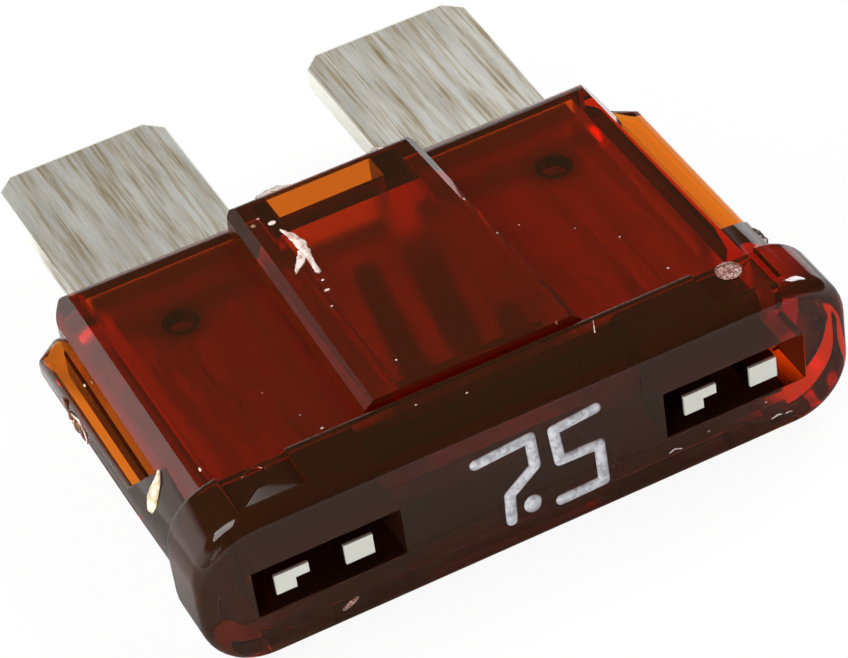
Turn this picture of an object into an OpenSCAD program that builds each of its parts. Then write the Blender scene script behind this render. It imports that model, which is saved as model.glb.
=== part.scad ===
// Medium blade fuse for cars, lying on one of its broad faces.
// X runs across the width, Y from the head's face to the blade tips, Z up through the thickness.
// The origin is under the middle of the outline, on the plane that the fuse lies on.
// Inside the modules, y is counted from the head's face and z from the middle of the thickness.

/* [Head] */
// Width of the head over its rounded ends
head_w = 19.1; // [19:0.1:20.5]
// Thickness of the head
head_t = 4.9; // [4.8:0.1:5.1]
// Depth of the head from its face to its back
head_depth = 2.1; // [1.9:0.1:3]
// Radius of the head's four corners, seen from its face
head_corner_r = 1.78; // [1:0.02:1.8]
// Rounding of the edge round the head's face
head_face_r = 0.5; // [0.2:0.05:0.7]
// Rounding of the edge round the head's back
head_back_r = 0.15; // [0.05:0.05:0.3]

/* [Body] */
// Width of the body at its blade end
body_w = 16.88; // [16.8:0.02:17.2]
// Sideways offset of the body from the middle of the head
body_shift = -0.2; // [-0.2:0.02:0.2]
// Thickness of the body over its flat panels
body_t = 3.8; // [3.8:0.05:4.1]
// Length of the body behind the head
body_length = 9.75; // [9.5:0.05:11]
// Width of the bevel along each panel's outer edge
side_bevel_w = 0.5; // [0.3:0.05:0.6]
// Drop of that bevel
side_bevel_drop = 0.72; // [0.5:0.02:0.9]
// Rounding of the panels' edges at the blade end
body_end_r = 0.55; // [0.2:0.05:0.7]
// Rounding of the body's corners at the blade end, seen from above
body_corner_r = 0.6; // [0.3:0.05:0.8]
// Draft of the body's side walls in degrees, which lets the moulding leave its mould
body_draft = 0.6; // [0.2:0.1:1]

/* [Middle block] */
// Thickness over both raised middle blocks, which is the thickness of the fuse
block_t = 5.1; // [5.1:0.1:5.6]
// Width of a block at its foot, at the blade end
block_w = 5.96; // [5.4:0.02:6.4]
// Sideways offset of the blocks from the middle of the head
block_shift = -0.38; // [-0.5:0.02:0.5]
// Draft of a block's side walls in degrees
block_draft = 1.6; // [1:0.1:2]
// Distance of a block's end from the body's blade end
block_setback = 0.2; // [0.1:0.05:0.3]
// Width of the bevel along a block's top edges
block_bevel_w = 0.28; // [0.1:0.02:0.5]
// Drop of that bevel
block_bevel_drop = 0.22; // [0.1:0.02:0.3]
// Lean of a block's side walls between the panel and the bevel
block_lean = 0.08; // [0.02:0.02:0.2]
// Rounding of a block's top edge at the blade end
block_end_r = 0.3; // [0.1:0.05:0.5]
// Rounding of a block's corners at the blade end, seen from above
block_corner_r = 0.5; // [0.2:0.05:0.8]
// Notch between the head's back and a block
block_notch = 0.15; // [0.05:0.05:0.4]

/* [Wings and collars] */
// Width over the two thin wings
wing_w = 18.8; // [18.4:0.1:18.9]
// Thickness of a wing, whose outer edge is fully rounded
wing_t = 0.87; // [0.6:0.01:1.2]
// Reach of a wing past the body's blade end
wing_lip = 0.1; // [0.05:0.05:0.5]
// Chamfer of a wing's outer corner
wing_chamfer = 0.65; // [0.3:0.05:0.9]
// Width over the two thick collars that join the wings to the head
collar_w = 18.7; // [18.4:0.05:18.8]
// Thickness of a collar, whose outer side is fully rounded
collar_t = 3.7; // [3.3:0.05:3.75]
// Length of a collar along its upper and lower sides
collar_length = 1.7; // [1.2:0.05:2.2]
// Slope of a collar's blade-side face in degrees, down to the wing
collar_slope = 41.5; // [30:0.5:50]

/* [Test slots] */
// Width of each test slot in the head's face
slot_w = 4.25; // [4:0.05:4.4]
// Height of a test slot
slot_h = 1.55; // [1.2:0.05:1.9]
// Distance of a slot's centre from the middle of the head
slot_x = 5.975; // [5.9:0.025:6.1]
// Depth of a slot, to the pocket that holds the blade
slot_depth = 2.6; // [2.2:0.1:3]

/* [Ejector pads] */
// Width of the recessed pad near each end of the head
pad_w = 1.95; // [1.4:0.05:2.2]
// Distance of a pad's centre from the middle of the head
pad_x = 6.925; // [6.6:0.025:7.1]
// Distance of a pad from the head's face
pad_setback = 0.6; // [0.5:0.05:0.9]
// Depth of a pad
pad_depth = 0.22; // [0.1:0.02:0.4]
// Radius of the round ejector mark in a pad
ejector_r = 0.4; // [0.2:0.05:0.5]
// Depth of an ejector mark
ejector_depth = 0.05; // [0.02:0.01:0.1]
// Distance of an ejector mark's centre from the head's back
ejector_setback = 0.45; // [0.42:0.01:0.6]

/* [Hollow of the housing] */
// Clearance all round the metal
fit_gap = 0.05; // [0.03:0.01:0.08]
// Width of the chamber round the fuse link
chamber_w = 4.3; // [4:0.05:4.6]
// Height of that chamber
chamber_h = 1.8; // [1.2:0.05:2.4]
// Thickness of the web that closes the chamber at the blade end
web_t = 0.3; // [0.2:0.05:0.5]
// Width of the recess in the body's blade end, between the blades
recess_w = 3.2; // [2.6:0.05:3.4]
// Depth of that recess
recess_depth = 1.02; // [0.8:0.01:1.2]
// Thickness of the walls above and below the recess
recess_wall = 0.9; // [0.7:0.05:1.2]
// Radius of the pegs that hold the blades
peg_r = 0.4; // [0.3:0.02:0.5]
// Distance of a peg from the body's blade end
peg_setback = 2.35; // [1.9:0.05:2.8]
// Distance of a peg from the middle of the head
peg_x = 5.75; // [5:0.05:6.2]

/* [Blades] */
// Width of a blade
blade_w = 5.25; // [5.1:0.05:5.4]
// Thickness of a blade
blade_t = 0.65; // [0.5:0.05:0.8]
// Gap between the two blades
blade_gap = 4.6; // [4.5:0.05:4.8]
// Reach of the blades past the body
blade_reach = 7.35; // [6:0.05:9]
// Chamfer of the corners at a blade's tip
tip_chamfer = 0.52; // [0.2:0.02:1]
// Rounding of a blade's inner corner at the head
shoulder_r = 0.8; // [0.3:0.1:1.2]
// Gap between the end of a blade's pocket and its shoulder
seat_gap = 0.1; // [0.05:0.05:0.3]

/* [Forked ends] */
// Width over the two prongs at the head end of a blade
fork_span = 2.8; // [2.6:0.05:2.9]
// Sideways offset of the prongs from the slots' centres
fork_shift = -0.12; // [-0.15:0.01:0.15]
// Width of the stepped prong
stepped_prong_w = 0.97; // [0.8:0.01:1.1]
// Width of the stepped prong's leg of full thickness
prong_leg_w = 0.57; // [0.3:0.01:0.7]
// Length of the step
prong_step_length = 0.8; // [0.4:0.05:1.2]
// Width of the plain prong
plain_prong_w = 0.82; // [0.6:0.01:1]
// Distance of the prong ends behind the head's face
prong_setback = 0.05; // [0:0.01:0.4]

/* [Fuse link] */
// Thickness of the thinned link between the blades
link_t = 0.3; // [0.2:0.02:0.4]
// Lean of the link's legs in degrees
link_lean = 9; // [0:1:12]
// Gap inside the link's bend
bend_gap = 1.05; // [0.7:0.05:1.3]
// Width of the link's left leg
left_leg_w = 0.64; // [0.4:0.02:0.8]
// Width of the link's right leg
right_leg_w = 0.5; // [0.3:0.02:0.6]
// Height of the metal that closes the bend
bend_w = 0.52; // [0.3:0.02:0.8]
// Width of the gap left of the left leg
left_gap = 0.8; // [0.6:0.05:1]
// Width of the gap right of the right leg
right_gap = 0.9; // [0.7:0.05:1.1]
// Distance from the head's face to the inside of the bend
bend_y = 4; // [3.9:0.05:4.8]
// Sideways place of the middle of the bend
bend_x = 0.3; // [-0.2:0.05:0.4]
// Distance from the body's blade end to the top of the left gap
left_gap_setback = 3.05; // [2.6:0.05:3.6]
// Distance from the body's blade end to the top of the right gap
right_gap_setback = 6.25; // [4.8:0.05:6.4]

/* [Hidden] */
$fn = 64;
housing_colour = "#8a2a10";
metal_colour = "#c9c6bc";
// Distances from the head's face
body_end = head_depth + body_length;
block_end = body_end - block_setback;
overall_length = body_end + blade_reach;
chamber_end = body_end - recess_depth - web_t;
// Overlap of a shape with the one that carries it, and of a cut past a surface
overlap = 0.5;
body_start = head_depth - overlap;
// Larger than the whole fuse
beyond = 2 * head_w;
// The middle of the thickness, above the plane that the fuse lies on
mid_z = max(block_t, head_t) / 2;
// The pocket that the metal lies in
pocket_t = blade_t + 2 * fit_gap;
pocket_w = blade_gap + 2 * blade_w + 2 * fit_gap;
pocket_mouth_gap = blade_gap - 2 * fit_gap;
shoulder_y = slot_depth + seat_gap;
peg_y = body_end - peg_setback;
peg_hole_r = peg_r + fit_gap;
// The metal that is left between the blades before its gaps are cut
link_start = bend_y - bend_w;
link_end = chamber_end - fit_gap;

// A profile of the width and the thickness, run from y0 to y1
module along_y(y0, y1) {
    translate([0, y1, 0])
        rotate([90, 0, 0])
            linear_extrude(y1 - y0)
                children();
}

// A profile of the depth and the thickness, run across the width w about the middle
module across_x(w) {
    translate([-w / 2, 0, 0])
        rotate([90, 0, 90])
            linear_extrude(w)
                children();
}

// A plan, given the thickness t about the middle
module through_z(t) {
    translate([0, 0, -t / 2])
        linear_extrude(t)
            children();
}

// The same shape on both sides of the middle
module both_sides() {
    children();
    mirror([1, 0, 0])
        children();
}

// The same shape on the upper and the lower face
module both_faces() {
    children();
    mirror([0, 0, 1])
        children();
}

// Half of a section through the head's edge: it reaches out to x = reach, and its face is at y = 0
module head_edge(reach) {
    square([reach - head_face_r, head_depth - head_back_r]);
    translate([0, head_face_r])
        square([reach, head_depth - head_face_r - head_back_r]);
    translate([0, head_face_r])
        square([reach - head_back_r, head_depth - head_face_r]);
    translate([reach - head_face_r, head_face_r])
        circle(head_face_r);
    translate([reach - head_back_r, head_depth - head_back_r])
        circle(head_back_r);
}

// One rounded corner of the head, turned about a line along y
module head_corner() {
    rotate([-90, 0, 0])
        rotate_extrude()
            intersection() {
                head_edge(head_corner_r);
                square([head_corner_r, head_depth]);
            }
}

module head_block() {
    corner_x = head_w / 2 - head_corner_r;
    corner_z = head_t / 2 - head_corner_r;
    both_sides() both_faces()
        translate([corner_x, 0, corner_z])
            head_corner();
    // Between the corners, the edge runs straight across the top and down the ends
    both_faces()
        across_x(2 * corner_x)
            mirror([1, -1])
                head_edge(head_t / 2);
    both_sides()
        through_z(2 * corner_z)
            head_edge(head_w / 2);
}

// Plan of a drafted bar from y0 to its blade end y1, half_w wide there, with its corners there rounded
module drafted_plan(half_w, draft, y0, y1, r) {
    centre_x = half_w + r * tan(draft) - r / cos(draft);
    side_x = centre_x + r * cos(draft);
    side_y = y1 - r + r * sin(draft);
    foot_x = half_w + (y1 - y0) * tan(draft);
    polygon([
        [-foot_x, y0], [foot_x, y0], [side_x, side_y], [centre_x, y1],
        [-centre_x, y1], [-side_x, side_y]
    ]);
    for (x = [-centre_x, centre_x])
        translate([x, y1 - r])
            circle(r);
}

// A profile of the depth and the thickness, with its two corners at the blade end rounded
module end_rounded(y0, y1, t, r) {
    translate([y0, -t / 2])
        square([y1 - r - y0, t]);
    translate([y0, r - t / 2])
        square([y1 - y0, t - 2 * r]);
    for (z = [r - t / 2, t / 2 - r])
        translate([y1 - r, z])
            circle(r);
}

// A section run along both sides of a bar, each turned by the draft about its corner at the blade end
module drafted_sides(half_w, draft, y1) {
    intersection_for (side = [0, 1])
        mirror([side, 0, 0])
            translate([half_w, y1, 0])
                rotate([0, 0, draft])
                    translate([-half_w, -y1, 0])
                        along_y(-beyond, beyond)
                            children();
}

// The panels' bevel, as the section that it leaves
module panel_section() {
    edge_x = body_w / 2 - side_bevel_w;
    apex_x = edge_x + body_t / 2 * side_bevel_w / side_bevel_drop;
    polygon([
        [-beyond, -body_t / 2], [edge_x, -body_t / 2], [apex_x, 0],
        [edge_x, body_t / 2], [-beyond, body_t / 2]
    ]);
}

module panels() {
    translate([body_shift, 0, 0])
        intersection() {
            through_z(body_t)
                drafted_plan(body_w / 2, body_draft, body_start, body_end, body_corner_r);
            drafted_sides(body_w / 2, body_draft, body_end)
                panel_section();
            across_x(beyond)
                end_rounded(-overlap, body_end, body_t, body_end_r);
        }
}

// The block's side wall and bevel, as the section that they leave
module block_section() {
    foot_z = body_t / 2;
    wall_x = block_w / 2 - block_lean;
    wall_z = block_t / 2 - block_bevel_drop;
    top_x = wall_x - block_bevel_w;
    top_z = block_t / 2;
    // Inside the body the walls lean on, to meet in the middle of its thickness
    middle_x = block_w / 2 + foot_z * block_lean / (wall_z - foot_z);
    polygon([
        [-beyond, -top_z], [top_x, -top_z], [wall_x, -wall_z], [middle_x, 0],
        [wall_x, wall_z], [top_x, top_z], [-beyond, top_z]
    ]);
}

module middle_block() {
    block_start = head_depth + block_notch;
    translate([block_shift, 0, 0])
        intersection() {
            through_z(block_t)
                drafted_plan(block_w / 2, block_draft, block_start, block_end, block_corner_r);
            drafted_sides(block_w / 2, block_draft, block_end)
                block_section();
            across_x(beyond)
                end_rounded(body_start, block_end, block_t, block_end_r);
        }
}

// A thin slab whose edge at x = 0 is fully rounded and that lies to the left of it
module round_edged_slab(reach) {
    along_y(-beyond, beyond) {
        translate([-wing_t / 2, 0])
            circle(wing_t / 2);
        translate([-reach, -wing_t / 2])
            square([reach - wing_t / 2, wing_t]);
    }
}

module wing() {
    wing_end = body_end + wing_lip;
    intersection() {
        translate([wing_w / 2, 0, 0])
            round_edged_slab(beyond);
        translate([wing_w / 2 - wing_chamfer / 2, wing_end - wing_chamfer / 2, 0])
            rotate([0, 0, 45])
                round_edged_slab(beyond);
        translate([0, wing_end, 0])
            rotate([0, 0, 90])
                round_edged_slab(beyond);
        through_z(2 * wing_t)
            translate([body_w / 2 - overlap, body_start])
                square([wing_w / 2, overall_length]);
    }
}

// The inner half of a collar lies inside the body
module collar() {
    r = collar_t / 2;
    side_y = head_depth + collar_length;
    side_z = r + overlap;
    intersection() {
        translate([collar_w / 2 - r, 0, 0])
            along_y(-beyond, beyond)
                circle(r);
        across_x(beyond)
            polygon([
                [body_start, -side_z], [side_y - overlap * tan(collar_slope), -side_z],
                [side_y + r * tan(collar_slope), 0],
                [side_y - overlap * tan(collar_slope), side_z], [body_start, side_z]
            ]);
    }
}

// A box cut from y0 to y1, centred on x, w wide and t thick
module box_cut(x, w, y0, y1, t) {
    translate([x - w / 2, y0, -t / 2])
        cube([w, y1 - y0, t]);
}

module test_slot() {
    box_cut(slot_x, slot_w, -overlap, slot_depth, slot_h);
}

module ejector_pad() {
    floor_z = head_t / 2 - pad_depth;
    translate([pad_x - pad_w / 2, pad_setback, floor_z])
        cube([pad_w, head_depth + overlap, pad_depth + overlap]);
    translate([pad_x, head_depth - ejector_setback, floor_z - ejector_depth])
        cylinder(h = pad_depth + overlap, r = ejector_r);
}

// The flat pocket that the metal slides into, open at both blades, with the pegs left standing
module metal_pocket() {
    mouth_w = blade_w + 2 * fit_gap;
    mouth_x = pocket_mouth_gap / 2 + mouth_w / 2;
    difference() {
        union() {
            box_cut(0, pocket_w, slot_depth - fit_gap, chamber_end, pocket_t);
            both_sides()
                box_cut(mouth_x, mouth_w, slot_depth, body_end + overlap, pocket_t);
        }
        both_sides()
            translate([peg_x, peg_y, -pocket_t])
                cylinder(h = 2 * pocket_t, r = peg_r);
    }
}

module link_chamber() {
    box_cut(0, chamber_w, link_start - 2 * fit_gap, chamber_end, chamber_h);
}

module end_recess() {
    box_cut(block_shift, recess_w, body_end - recess_depth, body_end + overlap,
        block_t - 2 * recess_wall);
}

// The one-piece moulding: head, body with its raised blocks, wings and collars
module housing() {
    color(housing_colour)
        translate([0, -overall_length / 2, mid_z])
            difference() {
                union() {
                    head_block();
                    panels();
                    middle_block();
                    both_sides() {
                        wing();
                        collar();
                    }
                }
                both_sides() {
                    test_slot();
                    both_faces()
                        ejector_pad();
                }
                metal_pocket();
                link_chamber();
                end_recess();
            }
}

// Plan of the right-hand blade, from its shoulder to its tip
module blade_plan() {
    inner_x = blade_gap / 2;
    outer_x = inner_x + blade_w;
    polygon([
        [inner_x, shoulder_y + shoulder_r], [inner_x + shoulder_r, shoulder_y],
        [outer_x, shoulder_y],
        [outer_x, overall_length - tip_chamfer], [outer_x - tip_chamfer, overall_length],
        [inner_x + tip_chamfer, overall_length], [inner_x, overall_length - tip_chamfer]
    ]);
    translate([inner_x + shoulder_r, shoulder_y + shoulder_r])
        circle(shoulder_r);
}

// The two prongs at the head end of a blade whose slot is centred on x
module fork(x) {
    left_x = x + fork_shift - fork_span / 2;
    right_x = left_x + fork_span;
    prong_length = shoulder_y + overlap - prong_setback;
    difference() {
        through_z(blade_t) {
            translate([left_x, prong_setback])
                square([stepped_prong_w, prong_length]);
            translate([right_x - plain_prong_w, prong_setback])
                square([plain_prong_w, prong_length]);
        }
        // The stepped prong is half as thick beside its leg
        translate([left_x + prong_leg_w, prong_setback - overlap, -blade_t])
            cube([stepped_prong_w - prong_leg_w + fit_gap, prong_step_length + overlap, blade_t]);
    }
}

// A gap with one rounded end, which reaches from that end towards the blade tips
module gap(w, length) {
    translate([0, w / 2]) {
        circle(w / 2);
        translate([-w / 2, 0])
            square([w, length]);
    }
}

// Plan of the thinned link: what the three leaning gaps leave of the metal between the blades
module link_plan() {
    left_edge = -bend_gap / 2 - left_leg_w;
    right_edge = bend_gap / 2 + right_leg_w;
    left_x = left_edge - left_gap / 2;
    right_x = right_edge + right_gap / 2;
    bend_r = bend_gap / 2 + bend_w;
    left_top = body_end - left_gap_setback - bend_y;
    right_top = body_end - right_gap_setback - bend_y;
    difference() {
        translate([-blade_gap / 2 - overlap, link_start])
            square([blade_gap + 2 * overlap, link_end - link_start]);
        translate([bend_x, bend_y])
            rotate([0, 0, -link_lean]) {
                gap(bend_gap, beyond);
                translate([left_x, left_top])
                    mirror([0, 1])
                        gap(left_gap, beyond);
                translate([right_x, right_top])
                    mirror([0, 1])
                        gap(right_gap, beyond);
                // Outside the bend, the metal is cut away round its outer corners
                difference() {
                    translate([left_x, bend_gap / 2 - 2 * bend_r])
                        square([right_x - left_x, 2 * bend_r]);
                    translate([0, bend_gap / 2])
                        scale([(right_edge - left_edge) / 2 / bend_r, 1])
                            circle(bend_r);
                }
            }
    }
}

// The one-piece metal: two blades with forked ends, joined by the link
module fuse_element() {
    color(metal_colour)
        translate([0, -overall_length / 2, mid_z])
            difference() {
                union() {
                    both_sides()
                        through_z(blade_t)
                            blade_plan();
                    for (x = [-slot_x, slot_x])
                        fork(x);
                    through_z(link_t)
                        link_plan();
                }
                both_sides()
                    translate([peg_x, peg_y, -blade_t])
                        cylinder(h = 2 * blade_t, r = peg_hole_r);
            }
}

housing();
fuse_element();
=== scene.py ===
# Looks of an automotive blade fuse: brown see-through moulding, tin-plated strip and raised rating number.
# Lengths are in millimetres, and MM turns them to metres. Y runs from the head's face to the blade tips.
import math
import random

import bmesh
import bpy
from mathutils import Matrix, Vector


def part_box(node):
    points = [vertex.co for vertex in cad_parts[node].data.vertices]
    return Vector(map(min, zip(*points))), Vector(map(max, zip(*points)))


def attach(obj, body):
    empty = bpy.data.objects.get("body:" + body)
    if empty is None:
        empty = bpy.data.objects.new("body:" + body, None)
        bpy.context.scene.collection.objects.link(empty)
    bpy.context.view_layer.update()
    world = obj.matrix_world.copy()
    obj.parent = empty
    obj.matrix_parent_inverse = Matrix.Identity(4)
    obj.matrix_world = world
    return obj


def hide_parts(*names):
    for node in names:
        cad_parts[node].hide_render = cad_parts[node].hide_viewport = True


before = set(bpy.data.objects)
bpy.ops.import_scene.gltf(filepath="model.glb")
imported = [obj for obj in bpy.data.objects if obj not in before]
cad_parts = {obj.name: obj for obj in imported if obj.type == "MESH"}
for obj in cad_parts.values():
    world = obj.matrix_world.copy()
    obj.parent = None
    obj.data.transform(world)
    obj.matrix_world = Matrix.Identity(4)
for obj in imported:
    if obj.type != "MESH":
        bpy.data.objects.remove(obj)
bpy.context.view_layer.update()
MM = 0.001


# Places that the frame gives: the head's face, the mid-plane, the fork's ends and the blades' tips

FACE_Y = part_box("housing")[0][1] / MM
MID_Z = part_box("housing")[1][2] / 2 / MM
FORK_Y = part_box("fuse_element")[0][1] / MM
TIP_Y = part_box("fuse_element")[1][1] / MM


# Sizes of the real parts that the looks follow

# The blade end of the body, and the outer and inner sides and the cut corners of the blades
BODY_END = 2.25
BLADE_OUTER = 7.55
BLADE_INNER = 2.3
TIP_CHAMFER = 0.52
# Middles of the two pegs that hold the strip
PEG_X = 5.75
PEG_Y = -0.1
# Thickness and half width of the wings, and where the collars on them end
WING_T = 0.87
WING_HALF_W = 9.4
COLLAR_END = -5.75
# Directions that faces look in
UP = (0, 0, 1)
FRONT = (0, -1, 0)


# Small helpers

def linear(hex_colour):
    """An sRGB hex colour as Blender's linear values"""
    parts = [int(hex_colour[i:i + 2], 16) / 255 for i in (1, 3, 5)]
    return [c / 12.92 if c <= 0.04045 else ((c + 0.055) / 1.055) ** 2.4 for c in parts] + [1.0]


def node(tree, kind, settings=(), inputs=(), links=()):
    """Adds a node of any kind: its settings, the values of its inputs and what is linked into them.
    A Mix of colours has them in inputs 6 and 7, and gives output 2."""
    made = tree.nodes.new("ShaderNode" + kind)
    for name, value in dict(settings).items():
        setattr(made, name, value)
    for name, value in dict(inputs).items():
        made.inputs[name].default_value = value
    for name, source in dict(links).items():
        tree.links.new(source, made.inputs[name])
    return made


def material(name):
    """An empty material and its node tree"""
    made = bpy.data.materials.new(name)
    made.use_nodes = True
    made.node_tree.nodes.clear()
    return made, made.node_tree


def place_in_mm(tree):
    """A surface point's place on the object, in millimetres"""
    metres = node(tree, "TexCoord").outputs["Object"]
    return node(tree, "VectorMath", dict(operation="SCALE"), {"Scale": 1 / MM}, {0: metres}).outputs["Vector"]


def split_place(tree, place):
    """X, Y and Z of a place, and its distance from the middle line between the blades"""
    axes = node(tree, "SeparateXYZ", {}, {}, {0: place}).outputs
    outward = node(tree, "Math", dict(operation="ABSOLUTE"), {}, {0: axes["X"]}).outputs[0]
    return axes["X"], axes["Y"], axes["Z"], outward


def joined(tree, operation, parts):
    """Joins masks to one. A part is a mask, or (source, start, full), which rises from 0 at start to 1 at full"""
    whole = None
    for part in parts:
        if isinstance(part, tuple):
            source, start, full = part
            part = node(tree, "MapRange", dict(clamp=True), {"From Min": start, "From Max": full},
                        {"Value": source}).outputs["Result"]
        if whole is not None:
            part = node(tree, "Math", dict(operation=operation), {}, {0: whole, 1: part}).outputs[0]
        whole = part
    return whole


def all_of(tree, *parts):
    """A mask that is 1 only where every part is"""
    return joined(tree, "MINIMUM", parts)


def any_of(tree, *parts):
    """A mask that is 1 wherever one of the parts is"""
    return joined(tree, "MAXIMUM", parts)


def within(tree, sources, spans):
    """A mask that is 1 where each source lies between the two values of its span, and 0 elsewhere"""
    sides = []
    for source, (low, high) in zip(sources, spans):
        sides.append(node(tree, "Math", dict(operation="GREATER_THAN"), {1: low}, {0: source}).outputs[0])
        sides.append(node(tree, "Math", dict(operation="LESS_THAN"), {1: high}, {0: source}).outputs[0])
    return all_of(tree, *sides)


def finish_mesh(name, form, finish):
    """Turns a bmesh into an object at the origin"""
    mesh = bpy.data.meshes.new(name)
    form.to_mesh(mesh)
    form.free()
    mesh.materials.append(finish)
    made = bpy.data.objects.new(name, mesh)
    bpy.context.scene.collection.objects.link(made)
    return made


# Stage: pale floor, white tent and four soft boxes

FLOOR_RADIUS = 1500
CARD_WHITE = "#f2f2f2"
CARD_PAINTED_SHADE = "#8c8c8c"
WHITE_LIGHT = "#ffffff"
# How bright the card is for the camera, where 1 is white
CARD_GLOW = 0.93
# Each pair says where a mask starts and where it is full. Round the housing the card has painted shade.
PAINTED_SHADE_BACK_TO = (4, 1)
# The open floor round the fuse, and the part of it that lies in front
OPEN_FLOOR = (16, 60)
OPEN_FRONT = (-60, -15)
# Painted light: card that glows and so lights the wings from below: beside the body, and between two slanting
# lines across its ends
BEHIND_HEAD = (-9, -6)
LIT_BESIDE = (8.2, 8.9)
HEAD_SLANT = 0.6
LIT_PAST_HEAD = (-11, -7.5)
BLADE_SLANT = -0.25
LIT_UP_TO_BLADES = (5.2, 3.8)
# Painted light: card behind the body that glows and lights its blade end from below, less brightly
LIT_BEHIND = (1.5, 4)
LIT_BETWEEN = (6.8, 5.8)
BEHIND_GLOW = 0.6
# Painted light: card beside the wings that glows as gloss mirrors it
MIRRORED_BESIDE = (9.4, 10.4)
MIRRORED_PAST_HEAD = (-8, -5)
BESIDE_GLOW = 0.35
# The tent is white up to a height, and dimmer overhead, toward the front and toward the right
TENT_WHITE = 0.95
TENT_DIM = 0.05
TENT_OVERHEAD = (0.28, 0.42)
TENT_FRONT = (-0.1, -0.7)
TENT_RIGHT = (0.4, 0.65)
# Name, place, width and power in watts of each soft box, and whether gloss mirrors it
SOFT_BOXES = (
    ("key_box", (-110, 30, 200), 150, 0.3, True),
    ("back_box", (170, 70, 170), 110, 0.48, True),
    ("left_box", (-190, 40, 60), 120, 0.14, False),
    ("front_box", (-150, -180, 50), 80, 0.36, False),
)
CAMERA_LENS = 165.29
CAMERA_PLACE = (-28.311, -77.556, 71.672)
CAMERA_AHEAD = (0.26909, 0.70687, -0.65416)
CAMERA_UP = (0.37602, 0.54821, 0.74705)


def painted_glow_from_below(tree, across, back, outward):
    """A mask of the card's painted light, which comes up round the sides and the blade end of the fuse"""
    behind_head = all_of(tree, (back, *BEHIND_HEAD))
    edge = node(tree, "Math", dict(operation="ADD"), {}, {0: outward, 1: behind_head}).outputs[0]
    past_head = node(tree, "Math", dict(operation="MULTIPLY_ADD"), {1: HEAD_SLANT}, {0: across, 2: back})
    to_blades = node(tree, "Math", dict(operation="MULTIPLY_ADD"), {1: BLADE_SLANT}, {0: across, 2: back})
    beside = all_of(tree, (edge, *LIT_BESIDE), (past_head.outputs[0], *LIT_PAST_HEAD),
                    (to_blades.outputs[0], *LIT_UP_TO_BLADES))
    behind = all_of(tree, (back, *LIT_BEHIND), (outward, *LIT_BETWEEN))
    behind = node(tree, "Math", dict(operation="MULTIPLY"), {1: BEHIND_GLOW}, {0: behind}).outputs[0]
    return any_of(tree, beside, behind)


def build_floor():
    """Matt white card, which shows as white and keeps part of the fuse's shadow. For the plastic's rays it has
    painted shade round the housing, and painted light round its sides and blade end.
    """
    card, tree = material("matt_white_card")
    rays = node(tree, "LightPath").outputs
    place = place_in_mm(tree)
    across, back, _, outward = split_place(tree, place)
    # Painted shade: round the housing, the card that the plastic mirrors and lets through is grey
    by_plastic = any_of(tree, rays["Is Glossy Ray"], rays["Is Transmission Ray"])
    card_painted_shade = all_of(tree, by_plastic, (back, *PAINTED_SHADE_BACK_TO))
    tone = node(tree, "Mix", dict(data_type="RGBA"), {6: linear(CARD_WHITE), 7: linear(CARD_PAINTED_SHADE)},
                {0: card_painted_shade})
    matt = node(tree, "BsdfDiffuse", {}, {}, {"Color": tone.outputs[2]})
    backdrop_and_painted_glow = node(tree, "Emission", {}, {"Color": linear(WHITE_LIGHT), "Strength": 1.0})
    away = node(tree, "VectorMath", dict(operation="LENGTH"), {}, {0: place}).outputs["Value"]
    open_floor = all_of(tree, (away, *OPEN_FLOOR))
    # Painted light: for rays through the plastic the card glows on the open floor and round the fuse's sides and
    # blade end
    through = all_of(tree, rays["Is Transmission Ray"],
                     any_of(tree, open_floor, painted_glow_from_below(tree, across, back, outward)))
    # Painted light: for gloss the card glows beside the wings, and on the open floor except in front
    painted_glow_beside = all_of(tree, (outward, *MIRRORED_BESIDE), (back, *MIRRORED_PAST_HEAD))
    painted_glow_beside = node(tree, "Math", dict(operation="MULTIPLY"), {1: BESIDE_GLOW}, {0: painted_glow_beside}).outputs[0]
    mirrored = all_of(tree, rays["Is Glossy Ray"],
                      any_of(tree, painted_glow_beside, all_of(tree, open_floor, (back, *OPEN_FRONT))))
    seen = node(tree, "Math", dict(operation="MULTIPLY"), {1: CARD_GLOW}, {0: rays["Is Camera Ray"]}).outputs[0]
    share = any_of(tree, seen, through, mirrored)
    mixed = node(tree, "MixShader", {}, {}, {0: share, 1: matt.outputs[0], 2: backdrop_and_painted_glow.outputs[0]})
    node(tree, "OutputMaterial", {}, {}, {"Surface": mixed.outputs[0]})
    form = bmesh.new()
    bmesh.ops.create_circle(form, cap_ends=True, radius=FLOOR_RADIUS * MM, segments=64)
    floor = finish_mesh("floor", form, card)


def build_world():
    """White near the horizon and for the camera, dimmer elsewhere, as in a small studio tent"""
    world = bpy.data.worlds.new("studio")
    bpy.context.scene.world = world
    world.use_nodes = True
    tree = world.node_tree
    tree.nodes.clear()
    seen = node(tree, "LightPath").outputs["Is Camera Ray"]
    direction = node(tree, "TexCoord").outputs["Generated"]
    ways = node(tree, "SeparateXYZ", {}, {}, {0: direction}).outputs
    away = any_of(tree, (ways["Z"], *TENT_OVERHEAD), (ways["Y"], *TENT_FRONT), (ways["X"], *TENT_RIGHT))
    level = node(tree, "MapRange", dict(clamp=True), {"To Min": TENT_WHITE, "To Max": TENT_DIM},
                 {"Value": away})
    either = node(tree, "MapRange", dict(clamp=True), {"To Max": 1.0},
                  {"Value": seen, "To Min": level.outputs["Result"]})
    cloth = node(tree, "Background", {}, {"Color": linear(WHITE_LIGHT)}, {"Strength": either.outputs["Result"]})
    node(tree, "OutputWorld", {}, {}, {"Surface": cloth.outputs[0]})


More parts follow.
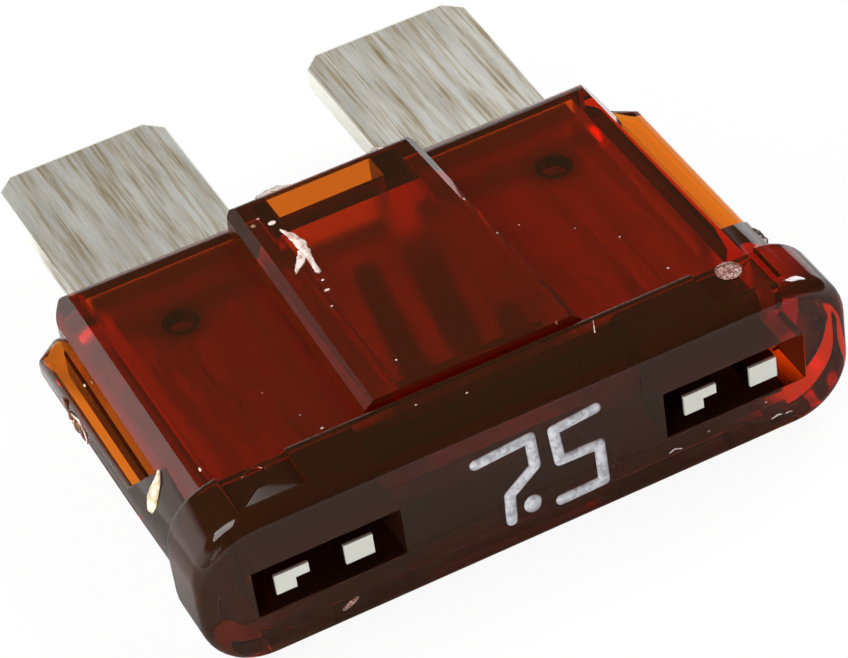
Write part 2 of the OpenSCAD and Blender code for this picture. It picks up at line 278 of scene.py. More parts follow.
def build_soft_boxes():
    """Square lamps aimed at the middle of the fuse"""
    for name, place, width, power, mirrored in SOFT_BOXES:
        lamp = bpy.data.lights.new(name, "AREA")
        lamp.shape = "SQUARE"
        lamp.size = width * MM
        lamp.energy = power
        box = bpy.data.objects.new(name, lamp)
        box.location = Vector(place) * MM
        inward = Vector((0, 0, MID_Z * MM)) - box.location
        box.rotation_euler = inward.to_track_quat("-Z", "Y").to_euler()
        box.visible_glossy = mirrored
        bpy.context.scene.collection.objects.link(box)


def build_camera():
    """At the photograph's place, found from the edges of the head, the wings and the blades"""
    look = bpy.data.cameras.new("camera")
    look.lens = CAMERA_LENS
    look.sensor_width = 36
    look.clip_start = 0.01
    camera = bpy.data.objects.new("camera", look)
    ahead, up = Vector(CAMERA_AHEAD).normalized(), Vector(CAMERA_UP).normalized()
    turn = Matrix((ahead.cross(up), up, -ahead)).transposed()
    camera.matrix_world = Matrix.Translation(Vector(CAMERA_PLACE) * MM) @ turn.to_4x4()
    bpy.context.scene.collection.objects.link(camera)
    bpy.context.scene.camera = camera


# Finish of the moulding

PLASTIC_IOR = 1.58
# The skin itself is clear. The dye under it lets this colour through, and its density is per metre.
CLEAR_SKIN = "#ffffff"
DYE = "#f9cf14"
DYE_DENSITY = 4737
# The little light that the dye scatters back, and its share of the skin
HAZE = "#da8e45"
HAZE_SHARE = 0.025
# Painted shade: nearly black on walls that little light leaves
PAINTED_SHADE_BLACK = "#29140d"
PAINTED_SHADE_SHARE = 0.85
# Distance between the waves where the melt shrank, and size of the finer changes of the sheen
SHRINK_WAVE = 1.5
SHEEN_GRAIN = 0.25
SHEEN_SPAN = (0.35, 0.7)
GLOSS_ROUGHNESS = (0.04, 0.07)
DULL_ROUGHNESS = 0.32
# Walls that the mould's cores left: spans of the distance from the middle line, of Y and of the distance from
# the mid-plane
CORE_WALLS = ((0, 7.9), (FACE_Y + 0.06, 1.1), (0, 0.97))
BLADE_MOUTHS = ((2.2, 7.75), (1.0, 2.3), (0, 0.45))
# The test slots, whose walls get painted shade, with X last, because the last stretch at the right stays clear,
# and the right slot's end wall by X
SLOT_DEPTH = (FACE_Y + 0.03, -6.9)
SLOT_LEVEL = (0, 0.82)
SLOT_WALLS = ((3.8, 8.12), SLOT_DEPTH, SLOT_LEVEL, (-9, 7.45))
SLOT_END_WALL = ((8.05, 8.13), SLOT_DEPTH, SLOT_LEVEL)
# The gap round a peg, whose walls get painted shade: spans of the distance from its middle and from the mid-plane
PEG_GAP = ((-1, 0.52), (0, 0.45))
# The underside behind the head: spans of Z and Y
UNDERSIDE = ((-1, 1.9), (-7.2, 3))


def from_peg(tree, outward, back):
    """Distance from the nearer peg's middle"""
    across = node(tree, "Math", dict(operation="SUBTRACT"), {1: PEG_X}, {0: outward}).outputs[0]
    along = node(tree, "Math", dict(operation="SUBTRACT"), {1: PEG_Y}, {0: back}).outputs[0]
    apart = node(tree, "CombineXYZ", {}, {}, {"X": across, "Y": along}).outputs[0]
    return node(tree, "VectorMath", dict(operation="LENGTH"), {}, {0: apart}).outputs["Value"]


def brown_polycarbonate():
    """Moulded see-through polycarbonate, dyed brown: glossy skin, and a depth colour that runs from amber where
    it is thin to nearly black where it is thick. The walls of the test slots and of the gaps round the pegs are
    painted nearly black, as painted shade."""
    made, tree = material("moulded_brown_polycarbonate")
    place = place_in_mm(tree)
    across, back, up, outward = split_place(tree, place)
    offset = node(tree, "Math", dict(operation="SUBTRACT"), {1: MID_Z}, {0: up}).outputs[0]
    level = node(tree, "Math", dict(operation="ABSOLUTE"), {}, {0: offset}).outputs[0]
    waves = node(tree, "TexNoise", {}, {"Scale": 1 / SHRINK_WAVE, "Detail": 2.0, "Roughness": 0.4},
                 {"Vector": place})
    sheen = node(tree, "TexNoise", {}, {"Scale": 1 / SHEEN_GRAIN, "Detail": 4.0}, {"Vector": place})
    (smooth, uneven), (gloss, least_gloss) = SHEEN_SPAN, GLOSS_ROUGHNESS
    polish = node(tree, "MapRange", dict(clamp=True),
                  {"From Min": smooth, "From Max": uneven, "To Min": gloss, "To Max": least_gloss},
                  {"Value": sheen.outputs[0]}).outputs["Result"]
    # The cores' hollows keep a dull skin, and so does the underside, which the mould's lower half formed
    dull = any_of(tree, within(tree, (outward, back, level), CORE_WALLS),
                  within(tree, (outward, back, level), BLADE_MOUTHS), within(tree, (up, back), UNDERSIDE))
    rough = node(tree, "MapRange", dict(clamp=True), {"To Max": DULL_ROUGHNESS},
                 {"Value": dull, "To Min": polish})
    bump = node(tree, "Bump", {}, {"Strength": 0.12, "Distance": 0.02 * MM}, {"Height": waves.outputs[0]})
    skin = node(tree, "BsdfPrincipled", {},
                {"Base Color": linear(CLEAR_SKIN), "IOR": PLASTIC_IOR, "Transmission Weight": 1.0},
                {"Roughness": rough.outputs["Result"], "Normal": bump.outputs[0]})
    haze = node(tree, "BsdfDiffuse", {}, {"Color": linear(HAZE)}, {"Normal": bump.outputs[0]})
    hazy = node(tree, "MixShader", {}, {0: HAZE_SHARE}, {1: skin.outputs[0], 2: haze.outputs[0]})
    # Painted shade: little light leaves the test slots and the narrow gaps round the pegs, so their walls are
    # painted nearly black
    black = any_of(tree, within(tree, (outward, back, level, across), SLOT_WALLS),
                   within(tree, (across, back, level), SLOT_END_WALL),
                   within(tree, (from_peg(tree, outward, back), level), PEG_GAP))
    black = node(tree, "Math", dict(operation="MULTIPLY"), {1: PAINTED_SHADE_SHARE}, {0: black}).outputs[0]
    painted_shade_bsdf = node(tree, "BsdfDiffuse", {}, {"Color": linear(PAINTED_SHADE_BLACK)})
    whole = node(tree, "MixShader", {}, {}, {0: black, 1: hazy.outputs[0], 2: painted_shade_bsdf.outputs[0]})
    depth = node(tree, "VolumeAbsorption", {}, {"Color": linear(DYE), "Density": DYE_DENSITY})
    node(tree, "OutputMaterial", {}, {}, {"Surface": whole.outputs[0], "Volume": depth.outputs[0]})
    return made


# Finish of the strip

STREAK_DARK = "#968462"
STREAK_LIGHT = "#f3f5f0"
# Painted shade on the fork and just inside the blade end, and round the pegs
FORK_AND_MOUTH_SHADE = "#4e372c"
PEG_SHADE = "#17100d"
# Pale of the sheared faces, and of a painted highlight along the outer edges inside the housing
SHEARED_PALE_AND_HIGHLIGHT = "#e6e6dc"
# Size of the rolled streaks and of the broader patches in X, Y and Z, and the noise over which their colour
# runs. Real streaks are finer still, and are drawn this coarse to show.
STREAK = (0.1, 3.2, 0.3)
STREAK_SPAN = (0.38, 0.6)
PATCH = (0.4, 3.5, 0.4)
PATCH_SPAN = (0.38, 0.62)
PATCH_SHARE = 0.3
# Roughness of the streaks from dark to light, and how much of a metal the plate is, and the sheared faces and the
# painted highlight are
STREAK_ROUGHNESS = (0.64, 0.46)
PLATE_METAL = 1.0
SHEARED_AND_HIGHLIGHT_METAL = 0.25
# The pale of a sheared face starts and is full at these depths before it, and on the fork's ends at others
PALE_DEPTH = (0.06, 0.02)
FORK_PALE_DEPTH = (0.12, 0.05)
# Where the strip's outer edges stand off the plastic, and the pale band of painted highlight along them there
SHEAR_FROM = -7.0
SHEAR_TO = 1.6
HIGHLIGHT_MARGIN = (7.22, 7.34)
HIGHLIGHT_MARGIN_END = (1.7, 1.2)
# Length over which the pale fades in at the ends of the zones above
FADE = 0.1
# Grain and reach of the ragged painted highlight on the right
TEAR_GRAIN = 0.16
TEAR_REACH = 0.7
# Painted shade: darker zones on the fork behind its ends, just inside the blade end, and round the pegs
FORK_SHADE_SPAN = (1.9, 1.4)
MOUTH_SHADE_SPAN = (-0.4, 0.4)
MOUTH_SHADE_SHARE = 0.75
PEG_SHADE_SPAN = (1.0, 0.4)


def up_to(source, face, side=1):
    """Part of a mask: pale close to a face, on the metal's side of it"""
    start, full = PALE_DEPTH
    return source, face - side * start, face - side * full


def sheared_faces_and_highlight(tree, place, across, back, outward):
    """A mask of the fork's ends, the blades' tips and cut corners, and the long sides. Inside the housing it has
    a pale rim too, a painted highlight, straight on the left and ragged on the right."""
    start, full = FORK_PALE_DEPTH
    ends = all_of(tree, (back, FORK_Y + start, FORK_Y + full))
    outer_cut = node(tree, "Math", dict(operation="ADD"), {}, {0: back, 1: outward}).outputs[0]
    inner_cut = node(tree, "Math", dict(operation="SUBTRACT"), {}, {0: back, 1: outward}).outputs[0]
    tips = any_of(tree, up_to(back, TIP_Y), up_to(outer_cut, TIP_Y + BLADE_OUTER - TIP_CHAMFER),
                  up_to(inner_cut, TIP_Y - BLADE_INNER - TIP_CHAMFER))
    inner = all_of(tree, up_to(outward, BLADE_INNER, -1), (back, BODY_END, BODY_END + FADE))
    grain = node(tree, "TexNoise", {}, {"Scale": 1 / TEAR_GRAIN, "Detail": 3.0}, {"Vector": place}).outputs[0]
    reach = node(tree, "MapRange", dict(clamp=True),
                 {"From Min": -FADE, "From Max": FADE, "To Max": TEAR_REACH}, {"Value": across}).outputs["Result"]
    torn = node(tree, "Math", dict(operation="MULTIPLY_ADD"), {}, {0: grain, 1: reach, 2: outward}).outputs[0]
    ragged = node(tree, "Math", dict(operation="MULTIPLY_ADD"), {1: -0.5}, {0: reach, 2: torn}).outputs[0]
    painted_highlight = all_of(tree, (ragged, *HIGHLIGHT_MARGIN), (back, *HIGHLIGHT_MARGIN_END))
    outer = any_of(tree, up_to(outward, BLADE_OUTER), painted_highlight)
    outer = all_of(tree, outer, (back, SHEAR_FROM, SHEAR_FROM + FADE))
    return any_of(tree, ends, tips, outer, inner)


def stretched_noise(tree, place, size, detail, coarseness):
    """Noise with blotches of a real size in X, Y and Z"""
    squeezed = node(tree, "Mapping", {}, {"Scale": [1 / side for side in size]}, {"Vector": place})
    return node(tree, "TexNoise", {}, {"Scale": 1.0, "Detail": detail, "Roughness": coarseness},
                {"Vector": squeezed.outputs[0]}).outputs[0]


def tin_plated_zinc():
    """Rolled zinc strip with matt tin plate: soft grey-beige streaks along the blades, and matt pale faces where
    it was sheared. Painted shade lies on the fork, just inside the blade end and round the pegs, and a pale
    painted highlight along the outer edges inside the housing."""
    made, tree = material("rolled_tin_plated_zinc")
    place = place_in_mm(tree)
    across, back, _, outward = split_place(tree, place)
    streak = stretched_noise(tree, place, STREAK, 5.0, 0.65)
    patch = stretched_noise(tree, place, PATCH, 3.0, 0.6)
    tone = all_of(tree, (streak, *STREAK_SPAN))
    blotch = all_of(tree, (patch, *PATCH_SPAN))
    mixed = node(tree, "Mix", {}, {0: PATCH_SHARE}, {2: tone, 3: blotch}).outputs[0]
    colour = node(tree, "Mix", dict(data_type="RGBA"), {6: linear(STREAK_DARK), 7: linear(STREAK_LIGHT)},
                  {0: mixed}).outputs[2]
    # Painted shade on the fork and just inside the housing's blade end, and round the pegs
    mouth_shade = all_of(tree, (back, *MOUTH_SHADE_SPAN), within(tree, (back,), ((-1, BODY_END),)))
    mouth_shade = node(tree, "Math", dict(operation="MULTIPLY"), {1: MOUTH_SHADE_SHARE}, {0: mouth_shade}).outputs[0]
    start, full = FORK_SHADE_SPAN
    fork_and_mouth_shade_mask = any_of(tree, (back, FORK_Y + start, FORK_Y + full), mouth_shade)
    peg_shade_mask = all_of(tree, (from_peg(tree, outward, back), *PEG_SHADE_SPAN))
    # Pale where the strip was sheared, and a painted highlight along its outer edges inside the housing
    sheared = sheared_faces_and_highlight(tree, place, across, back, outward)
    for tint, mask in ((FORK_AND_MOUTH_SHADE, fork_and_mouth_shade_mask), (PEG_SHADE, peg_shade_mask), (SHEARED_PALE_AND_HIGHLIGHT, sheared)):
        colour = node(tree, "Mix", dict(data_type="RGBA"), {7: linear(tint)}, {0: mask, 6: colour}).outputs[2]
    rough_dark, rough_light = STREAK_ROUGHNESS
    rough = node(tree, "MapRange", dict(clamp=True), {"To Min": rough_dark, "To Max": rough_light},
                 {"Value": tone})
    metal = node(tree, "MapRange", dict(clamp=True), {"To Min": PLATE_METAL, "To Max": SHEARED_AND_HIGHLIGHT_METAL},
                 {"Value": sheared})
    bump = node(tree, "Bump", {}, {"Strength": 0.25, "Distance": 0.01 * MM}, {"Height": streak})
    plate = node(tree, "BsdfPrincipled", {}, {},
                 {"Base Color": colour, "Roughness": rough.outputs["Result"], "Normal": bump.outputs[0],
                  "Metallic": metal.outputs["Result"]})
    node(tree, "OutputMaterial", {}, {}, {"Surface": plate.outputs[0]})
    return made


# Finishes of the number and of the marks

# Two tones of each, the size of its grains, and the noise over which one tone runs to the other
FOIL = (("#dfe0e4", "#a8a8b0"), 0.22, (0.42, 0.62))
TORN = (("#e6d5cb", "#a06656"), 0.22, (0.45, 0.68))
FROST = (("#6e2e1e", "#e9c9bd"), 0.07, (0.45, 0.7))
RESIN = (("#f6ead2", "#cfae7c"), 0.2, (0.4, 0.7))
# Tint of the thin flash, and the size of its folds
FILM_TINT = "#f6e6dd"
FILM_FOLD = 0.15


def grained(tree, finish, detail, coarseness=0.5):
    """Noise with grains of a real size, and a colour that runs between two tones as the noise crosses a span"""
    (one_tone, other_tone), grain, span = finish
    noise = node(tree, "TexNoise", {}, {"Scale": 1 / grain, "Detail": detail, "Roughness": coarseness},
                 {"Vector": place_in_mm(tree)}).outputs[0]
    colour = node(tree, "Mix", dict(data_type="RGBA"), {6: linear(one_tone), 7: linear(other_tone)},
                  {0: all_of(tree, (noise, *span))}).outputs[2]
    return noise, colour


def silver_white_foil():
    """Hot-stamped foil on the raised number: pale silver-grey, worn thinner in small patches"""
    made, tree = material("hot_stamped_silver_foil")
    wear, colour = grained(tree, FOIL, 4.0, 0.6)
    bump = node(tree, "Bump", {}, {"Strength": 0.3, "Distance": 0.02 * MM}, {"Height": wear})
    foil = node(tree, "BsdfPrincipled", {}, {"Metallic": 0.2, "Roughness": 0.38},
                {"Base Color": colour, "Normal": bump.outputs[0]})
    node(tree, "OutputMaterial", {}, {}, {"Surface": foil.outputs[0]})
    return made


def whitened_polycarbonate():
    """Torn and scuffed polycarbonate, which scatters white with a pink tinge"""
    made, tree = material("whitened_torn_polycarbonate")
    crumbs, colour = grained(tree, TORN, 3.0)
    bump = node(tree, "Bump", {}, {"Strength": 0.3, "Distance": 0.03 * MM}, {"Height": crumbs})
    white = node(tree, "BsdfPrincipled", {}, {"Roughness": 0.5, "IOR": PLASTIC_IOR},
                 {"Base Color": colour, "Normal": bump.outputs[0]})
    node(tree, "OutputMaterial", {}, {}, {"Surface": white.outputs[0]})
    return made


def frosted_polycarbonate():
    """Polycarbonate that the ejector pin's rough tip frosted: brown with pink-white sparkle. The real grains
    are finer, and are drawn this coarse to show."""
    made, tree = material("frosted_brown_polycarbonate")
    grains, colour = grained(tree, FROST, 3.0, 0.7)
    bump = node(tree, "Bump", {}, {"Strength": 0.8, "Distance": 0.02 * MM}, {"Height": grains})
    frost = node(tree, "BsdfPrincipled", {}, {"Roughness": 0.4, "IOR": PLASTIC_IOR},
                 {"Base Color": colour, "Normal": bump.outputs[0]})
    node(tree, "OutputMaterial", {}, {}, {"Surface": frost.outputs[0]})
    return made


def cream_resin():
    """Dried cream resin that ran over the left collar and stuck in the wing's dent"""
    made, tree = material("dried_cream_resin")
    _, colour = grained(tree, RESIN, 3.0)
    resin = node(tree, "BsdfPrincipled", {}, {"Roughness": 0.32}, {"Base Color": colour})
    node(tree, "OutputMaterial", {}, {}, {"Surface": resin.outputs[0]})
    return made


def clear_film():
    """Flash: a film of plastic so thin that it has hardly any colour"""
    made, tree = material("clear_moulding_flash")
    folds = node(tree, "TexNoise", {}, {"Scale": 1 / FILM_FOLD, "Detail": 2.0}, {"Vector": place_in_mm(tree)})
    bump = node(tree, "Bump", {}, {"Strength": 0.5, "Distance": 0.03 * MM}, {"Height": folds.outputs[0]})
    film = node(tree, "BsdfPrincipled", {},
                {"Base Color": linear(FILM_TINT), "IOR": PLASTIC_IOR, "Roughness": 0.12,
                 "Transmission Weight": 0.85}, {"Normal": bump.outputs[0]})
    node(tree, "OutputMaterial", {}, {}, {"Surface": film.outputs[0]})
    return made


# The moulding and the strip, from the frame's nodes

# Facets that meet at less than the first angle are one face, and edges sharper than the second stay sharp
FACET_ANGLE = math.radians(0.5)
SHARP_ANGLE = math.radians(28)
ROUNDED_ANGLE = math.radians(30)
MOULDING_ROUNDING = 0.05
STRIP_ROUNDING = 0.07
# Power of the curve that squares the wings' edges, where 2 is a full round
EDGE_POWER = 4
# How far in the strip's left edge lies, how deep its right edge is torn, and how far apart the tears are
LEFT_EDGE_IN = 0.24
TEAR_DEPTH = (0.16, 0.42)
TEAR_STEP = (0.07, 0.2)


def merged_copy(name):
    """A CAD node's mesh with its loose triangles joined to faces"""
    form = bmesh.new()
    form.from_mesh(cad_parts[name].data)
    bmesh.ops.remove_doubles(form, verts=form.verts, dist=0.0005 * MM)
    bmesh.ops.dissolve_limit(form, angle_limit=FACET_ANGLE, verts=form.verts, edges=form.edges,
                             delimit={"NORMAL"})
    return form


def soften_edges(piece, width):
    """Rounds the sharp edges a little and keeps the flat faces flat to the eye"""
    piece.data.shade_smooth()
    piece.data.set_sharp_from_angle(angle=SHARP_ANGLE)
    rounding = piece.modifiers.new("rounding", "BEVEL")
    rounding.width = width * MM
    rounding.segments = 2
    rounding.limit_method = "ANGLE"
    rounding.angle_limit = ROUNDED_ANGLE
    rounding.use_clamp_overlap = True
    flat = piece.modifiers.new("flat_faces", "WEIGHTED_NORMAL")
    flat.keep_sharp = True
    flat.weight = 100


def fill_wing_edges(form):
    """Makes the round outer edges of the wings a little squarer, inside the same outline"""
    half = WING_T / 2 * MM
    start = WING_HALF_W * MM - half
    middle = MID_Z * MM
    for vert in form.verts:
        out, up = (abs(vert.co.x) - start) / half, (vert.co.z - middle) / half
        if vert.co.y > COLLAR_END * MM and out > 0.01 and out * out + up * up < 1.02:
            grow = 1 / (abs(out) ** EDGE_POWER + abs(up) ** EDGE_POWER) ** (1 / EDGE_POWER)
            grow *= math.hypot(out, up)
            vert.co.x = math.copysign(start + half * out * grow, vert.co.x)
            vert.co.z = middle + half * up * grow


def build_housing(finish):
    """The one-piece moulding"""
    form = merged_copy("housing")
    fill_wing_edges(form)
    housing = finish_mesh("moulded_housing", form, finish)
    soften_edges(housing, MOULDING_ROUNDING)
    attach(housing, "root")
    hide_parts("housing")


def tear_edges(form):
    """Inside the housing the strip's outer edges stand off the plastic: sheared straight on the left, torn on
    the right. The light that comes up past them shows as bright lines in the panels."""
    dice = random.Random(11)
    along = SHEAR_FROM
    while along < SHEAR_TO:
        bmesh.ops.bisect_plane(form, geom=form.verts[:] + form.edges[:] + form.faces[:],
                               plane_co=(0, along * MM, 0), plane_no=(0, 1, 0))
        depth = dice.uniform(*TEAR_DEPTH)
        for vert in form.verts:
            if abs(vert.co.y - along * MM) < 0.001 * MM and abs(vert.co.x) > (BLADE_OUTER - 0.01) * MM:
                vert.co.x += -depth * MM if vert.co.x > 0 else LEFT_EDGE_IN * MM
        along += dice.uniform(*TEAR_STEP)


def build_metal(finish):
    """The stamped strip with the small roundings that shearing and plating leave on its edges"""
    form = merged_copy("fuse_element")
    tear_edges(form)
    strip = finish_mesh("stamped_strip", form, finish)
    soften_edges(strip, STRIP_ROUNDING)
    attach(strip, "root")
    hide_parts("fuse_element")


# Shapes of the small added pieces

def add_piece(name, form, finish):
    """Places a small added piece on the fuse"""
    bmesh.ops.recalc_face_normals(form, faces=form.faces)
    for face in form.faces:
        face.smooth = True
    piece = finish_mesh(name, form, finish)
    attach(piece, "root")


def dome(form, place, size, toward=UP):
    """A rounded lump: its middle, its three half sizes and the direction of the third"""
    turn = Vector(toward).to_track_quat("Z", "Y").to_matrix().to_4x4()
    spread = Matrix.Diagonal(Vector(size) * MM).to_4x4()
    made = bmesh.ops.create_uvsphere(form, u_segments=20, v_segments=12, radius=1.0,
                                     matrix=Matrix.Translation(Vector(place) * MM) @ turn @ spread)
    return made["verts"]


def ragged_strip(form, course, up, thickness, raggedness, dice):
    """A thin uneven strip along a course of (x, y, z, width), which lies square to the direction up"""
    up = Vector(up).normalized()
    steps = 5 * (len(course) - 1)
    made = bmesh.ops.create_grid(form, x_segments=steps, y_segments=2, size=1.0)
    for vert in made["verts"]:
        along, across = (vert.co.x + 1) / 2 * (len(course) - 1), vert.co.y
        index = min(int(along), len(course) - 2)
        part = along - index
        start, end = course[index], course[index + 1]
        point = Vector(start[:3]).lerp(Vector(end[:3]), part)
        width = start[3] + (end[3] - start[3]) * part
        side = (Vector(end[:3]) - Vector(start[:3])).cross(up).normalized()
        reach = width / 2 * (1 + raggedness * dice.uniform(-1, 1))
        lift = thickness * (0.6 + (1 - across * across) * dice.uniform(0.2, 1.2))
        vert.co = (point + side * across * reach + up * lift) * MM
    faces = list({face for vert in made["verts"] for face in vert.link_faces})
    bmesh.ops.solidify(form, geom=faces, thickness=thickness * MM)


def specks(form, places, up, dice):
    """Small chips at places (x, y, z, size) on a face that looks along up"""
    for x, y, z, size in places:
        dome(form, (x, y, z), (size * dice.uniform(0.6, 1.0), size * dice.uniform(0.4, 0.7), size * 0.35), up)


# The raised number on the head's face

STROKE_HALF = 0.165
STROKE_HEIGHT = 0.1
# Corners of the two figures as (x, z) on the face, and the middle and half sizes of the point
SEVEN = ((-1.64, 3.72), (-0.05, 3.85), (0.0, 2.84), (-0.81, 2.2), (-0.85, 1.32))
FIVE = ((1.88, 3.88), (0.63, 3.75), (0.72, 2.64), (1.88, 2.62), (1.9, 1.32), (0.62, 1.28))
POINT_AT = (-0.2, FACE_Y, 1.58)
POINT_SIZE = (0.26, STROKE_HEIGHT, 0.29)


def stroke(form, corners):
    """A raised line with rounded corners and ends through points (x, z) of the head's face"""
    verts = []
    for x, z in corners:
        verts += dome(form, (x, 0, z), (STROKE_HALF, STROKE_HALF, STROKE_HALF))
    for (x0, z0), (x1, z1) in zip(corners, corners[1:]):
        course = Vector((x1 - x0, 0, z1 - z0))
        middle = Vector(((x0 + x1) / 2, 0, (z0 + z1) / 2)) * MM
        turn = course.to_track_quat("Z", "Y").to_matrix().to_4x4()
        rod = bmesh.ops.create_cone(form, cap_ends=False, segments=20, radius1=STROKE_HALF * MM,
                                    radius2=STROKE_HALF * MM, depth=course.length * MM,
                                    matrix=Matrix.Translation(middle) @ turn)
        verts += rod["verts"]
    flat = STROKE_HEIGHT / STROKE_HALF
    for vert in verts:
        vert.co.y = FACE_Y * MM + vert.co.y * flat


def build_number(finish):
    """The figures and the point between them"""
    form = bmesh.new()
    stroke(form, SEVEN)
    stroke(form, FIVE)
    dome(form, POINT_AT, POINT_SIZE)
    add_piece("rating_number", form, finish)


# Marks that moulding and handling left

# Each torn strip: its course as (x, y, z, width), the way it looks, its thickness and its raggedness
TORN_STRIPS = (
    # Ragged flash on the left edge of the middle block: its main strip and its side branch
    (((-2.36, 0.25, 5.09, 0.04), (-2.22, -0.14, 5.1, 0.2), (-2.15, -0.55, 5.1, 0.3), (-2.17, -0.97, 5.1, 0.24),
      (-2.22, -1.45, 5.1, 0.14), (-2.24, -1.89, 5.1, 0.16), (-2.24, -2.0, 5.1, 0.04)), UP, 0.04, 0.2),
    (((-2.3, -0.85, 5.1, 0.12), (-2.42, -1.25, 5.1, 0.24), (-2.68, -1.5, 5.1, 0.14),
      (-2.78, -1.66, 5.06, 0.04)), UP, 0.03, 0.25),
    # Light line beside the head
    (((2.95, -7.75, 5.0, 0.02), (2.76, -8.2, 5.0, 0.03)), UP, 0.006, 0.3),
    # Rim of the dent in the left wing
    (((-9.42, -0.75, 2.75, 0.04), (-9.38, -1.15, 2.8, 0.09), (-9.4, -1.5, 2.7, 0.1), (-9.44, -1.8, 2.5, 0.04)),
     (-0.9, 0, 0.4), 0.03, 0.25),
    # Scuffs near the lower edge of the face
    (((6.95, FACE_Y, 0.84, 0.03), (7.15, FACE_Y, 0.9, 0.06), (7.28, FACE_Y, 0.86, 0.02)), FRONT, 0.01, 0.4),
    (((7.38, FACE_Y, 0.83, 0.03), (7.52, FACE_Y, 0.84, 0.05), (7.6, FACE_Y, 0.8, 0.02)), FRONT, 0.01, 0.4),
    (((3.85, FACE_Y, 1.22, 0.03), (4.02, FACE_Y, 1.3, 0.05), (4.25, FACE_Y, 1.2, 0.03)), FRONT, 0.008, 0.4),
)
# Chips as (x, y, z, size) on the block and the head, on the panels, and on the head's face
CHIPS = (
    (((-2.29, -2.3, 5.1, 0.07), (-2.38, -2.74, 5.1, 0.09), (-2.55, -3.4, 5.1, 0.05), (-2.42, 0.66, 5.09, 0.13),
      (-2.89, 0.88, 5.02, 0.1), (-2.67, 1.04, 5.09, 0.06), (1.5, 1.86, 5.08, 0.08), (2.42, -1.39, 5.03, 0.06),
      (2.52, -3.14, 4.99, 0.05), (-2.08, -6.29, 5.1, 0.04), (-2.39, -8.03, 5.0, 0.04),
      (-1.08, -8.37, 5.0, 0.05), (2.1, -7.3, 5.02, 0.05)), UP),
    (((5.44, -4.59, 4.45, 0.04), (4.62, -3.57, 4.45, 0.03), (5.88, -6.45, 4.45, 0.04),
      (3.42, -2.58, 4.45, 0.03), (-4.87, -6.09, 4.45, 0.04), (-4.61, -6.87, 4.45, 0.05),
      (-5.34, -4.75, 4.45, 0.03)), UP),
    (((5.07, FACE_Y, 1.39, 0.06), (6.83, FACE_Y, 1.52, 0.04)), FRONT),
)
# The ejector pin's dimple in the right pad, and the rubbed patch low on the face's left, with their half sizes
FROSTED_AT = (6.99, -7.77, 4.75)
FROSTED_SIZE = (0.37, 0.37, 0.03)
RUBBED_AT = (-5.62, FACE_Y, 0.9)
RUBBED_SIZE = (0.26, 0.1, 0.012)
RUBBED_RISE = 0.45
# Resin: its run down the left collar, the way that looks, and crumbs of it on the wing and the body
RESIN_RUN = ((-8.68, -5.42, 3.98, 0.12), (-8.85, -5.62, 3.82, 0.32), (-9.01, -5.72, 3.62, 0.46),
             (-9.16, -5.78, 3.37, 0.52), (-9.25, -5.8, 3.16, 0.3))
RESIN_OUT = (-0.8, 0, 0.6)
RESIN_CRUMBS = ((-9.47, -0.7, 2.5, 0.11), (-9.45, -0.85, 2.55, 0.08), (-8.76, -0.15, 2.99, 0.08),
                (-7.93, -6.51, 4.45, 0.09))
CRUMBS_OUT = (-0.9, 0, 0.3)
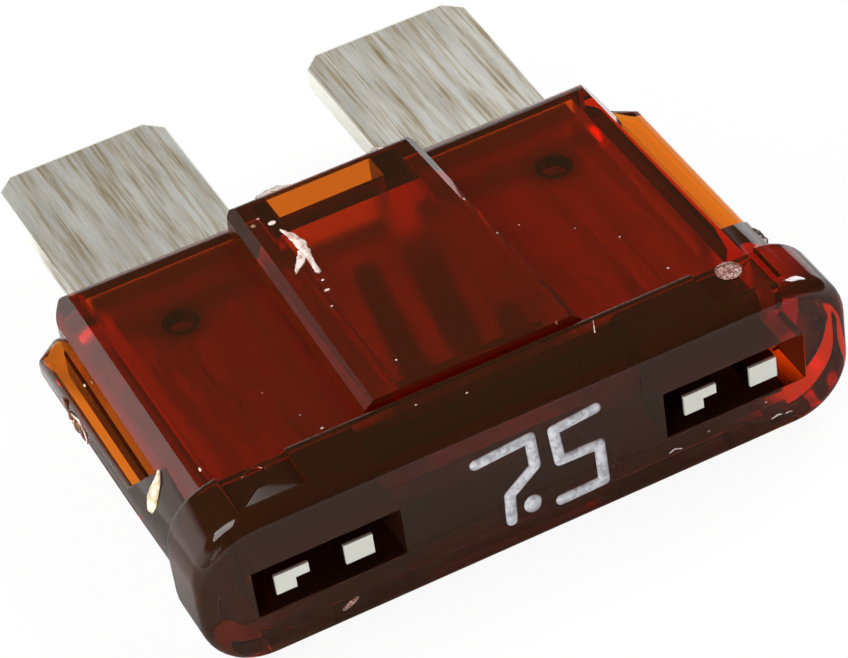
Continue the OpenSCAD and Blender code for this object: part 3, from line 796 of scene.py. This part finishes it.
# Blisters round the dent in the left wing's edge: middles and half sizes, and the way they look
BLISTERS = (
    ((-9.39, -0.2, 2.62), (0.2, 0.3, 0.06)), ((-9.41, -0.62, 2.5), (0.2, 0.22, 0.09)),
    ((-9.4, -0.98, 2.46), (0.17, 0.24, 0.11)), ((-9.4, -1.35, 2.48), (0.2, 0.26, 0.08)),
)
BLISTERS_OUT = (-0.92, 0, -0.1)
FLASH_STRIPS = (
    # Beyond the block's end, at its left and its right
    (((-2.3, 2.02, 4.97, 0.1), (-2.0, 2.05, 4.99, 0.26), (-1.6, 2.04, 4.99, 0.2),
      (-1.25, 2.0, 4.98, 0.06)), UP),
    (((1.15, 2.0, 4.97, 0.05), (1.35, 2.04, 4.99, 0.18), (1.6, 2.0, 4.97, 0.06)), UP),
    # On the outer side of the right collar
    (((9.0, -5.45, 3.62, 0.06), (9.2, -5.4, 3.35, 0.16), (9.36, -5.42, 3.0, 0.2), (9.4, -5.5, 2.7, 0.06)),
     (0.3, 0.9, 0.2)),
)


def build_torn_plastic(finish):
    """Torn flash, chips and scuffs"""
    dice = random.Random(5)
    form = bmesh.new()
    for course, up, thickness, raggedness in TORN_STRIPS:
        ragged_strip(form, course, up, thickness, raggedness, dice)
    for places, up in CHIPS:
        specks(form, places, up, dice)
    add_piece("torn_plastic", form, finish)


def build_frosted_mark(finish):
    """The frosted dimple and the rubbed patch"""
    dice = random.Random(9)
    form = bmesh.new()
    for vert in dome(form, FROSTED_AT, FROSTED_SIZE):
        vert.co += Vector((0, 0, dice.uniform(-0.008, 0.012))) * MM
    for vert in dome(form, RUBBED_AT, RUBBED_SIZE, FRONT):
        vert.co.z += (vert.co.x - RUBBED_AT[0] * MM) * RUBBED_RISE
    add_piece("frosted_mark", form, finish)


def build_resin(finish):
    """The dried run and its crumbs"""
    dice = random.Random(3)
    form = bmesh.new()
    ragged_strip(form, RESIN_RUN, RESIN_OUT, 0.05, 0.08, dice)
    specks(form, RESIN_CRUMBS, CRUMBS_OUT, dice)
    add_piece("dried_resin", form, finish)


def build_dent(finish):
    """Blisters round the wing's dent"""
    form = bmesh.new()
    for place, size in BLISTERS:
        dome(form, place, size, BLISTERS_OUT)
    add_piece("wing_dent", form, finish)


def build_flash(finish):
    """Thin clear flash that the mould's parting left"""
    dice = random.Random(7)
    form = bmesh.new()
    for course, up in FLASH_STRIPS:
        ragged_strip(form, course, up, 0.02, 0.35, dice)
    add_piece("moulding_flash", form, finish)


build_camera()
build_world()
build_floor()
build_soft_boxes()
brown_plastic = brown_polycarbonate()
build_housing(brown_plastic)
build_dent(brown_plastic)
build_metal(tin_plated_zinc())
build_number(silver_white_foil())
build_torn_plastic(whitened_polycarbonate())
build_frosted_mark(frosted_polycarbonate())
build_resin(cream_resin())
build_flash(clear_film())

bpy.context.scene.view_settings.view_transform = "Standard"
